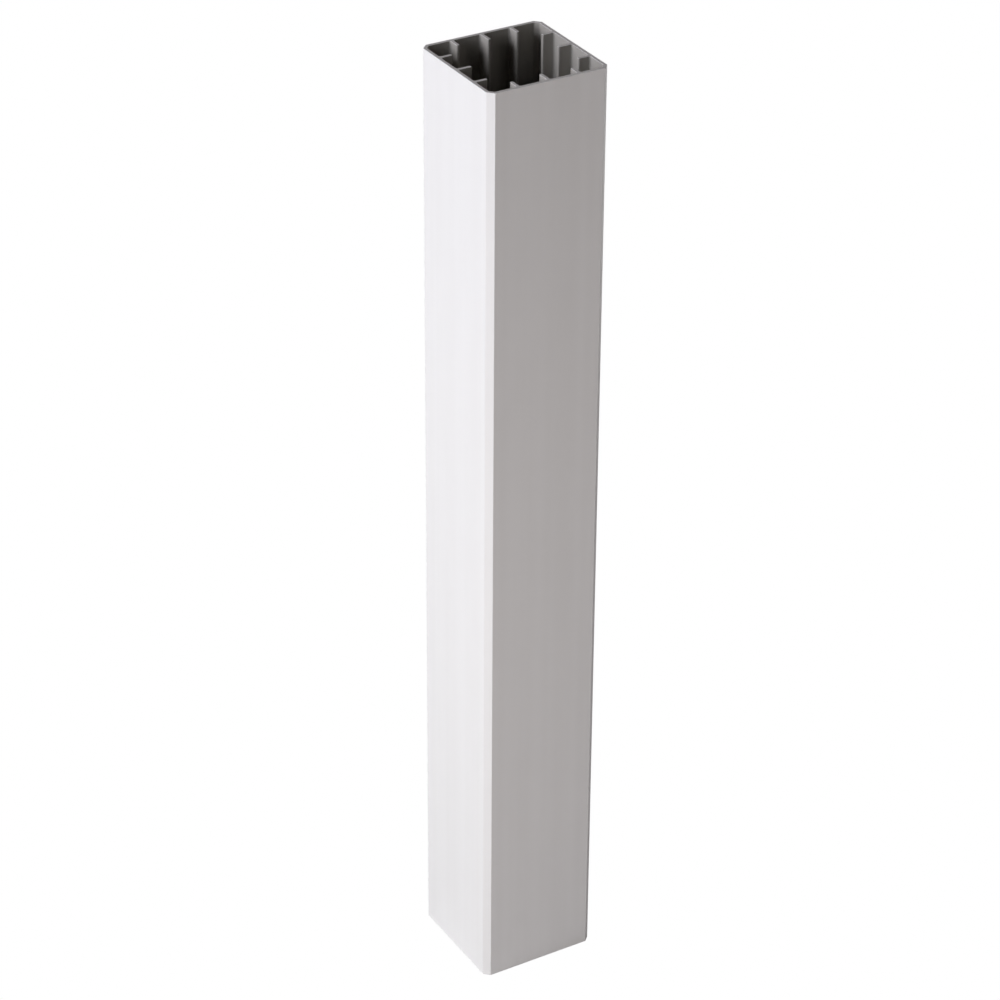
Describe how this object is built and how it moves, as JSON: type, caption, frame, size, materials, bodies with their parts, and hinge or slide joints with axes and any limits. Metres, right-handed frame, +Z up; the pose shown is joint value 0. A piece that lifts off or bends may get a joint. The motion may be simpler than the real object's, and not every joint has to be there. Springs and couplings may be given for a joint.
{
  "type": "post sleeve",
  "caption": "White hollow square sleeve with chamfered corners and ribs inside, which slides down over a square timber post to cover it.",
  "frame": {"origin": "centre of the lower cut end, on the surface that the sleeve stands on", "axes": "+Z up along the sleeve's length, with X and Y square to its four faces"},
  "size_m": [0.127, 0.127, 0.9906],
  "materials": {
    "sleeve_plastic": "smooth satin white outdoor plastic, saw-cut at both ends"
  },
  "bodies": {
    "root": {"post_sleeve": "sleeve_plastic"}
  },
  "joints": []
}
